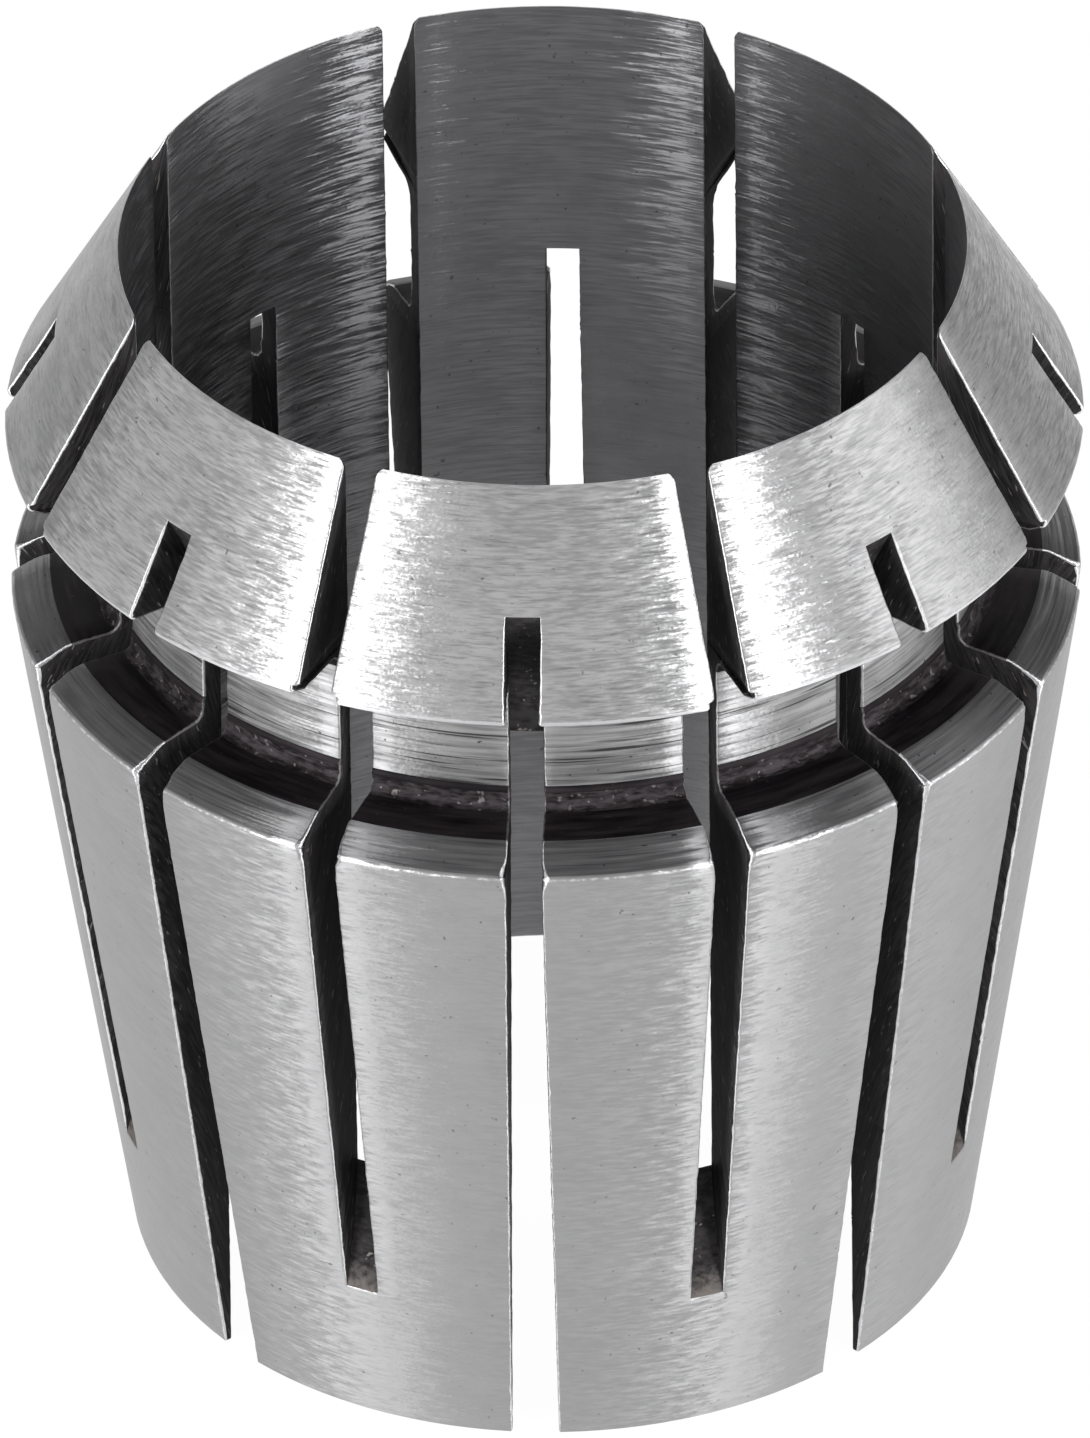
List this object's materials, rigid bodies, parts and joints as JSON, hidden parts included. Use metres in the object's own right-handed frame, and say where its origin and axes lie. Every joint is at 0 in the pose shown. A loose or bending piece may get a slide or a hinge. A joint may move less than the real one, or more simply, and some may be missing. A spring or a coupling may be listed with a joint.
{
  "type": "er collet",
  "caption": "Slotted steel spring collet: 8 degree body taper, 30 degree nose cone, puller groove and one straight bore.",
  "frame": {"origin": "centre of the rear face, on the axis", "axes": "+Z along the axis from the small end to the nose; a slot that opens at the rear faces -Y"},
  "size_m": [0.041, 0.041, 0.0443],
  "materials": {
    "ground_steel": "ground and lightly brushed round the axis"
  },
  "bodies": {
    "root": {"collet": "ground_steel"}
  },
  "joints": []
}
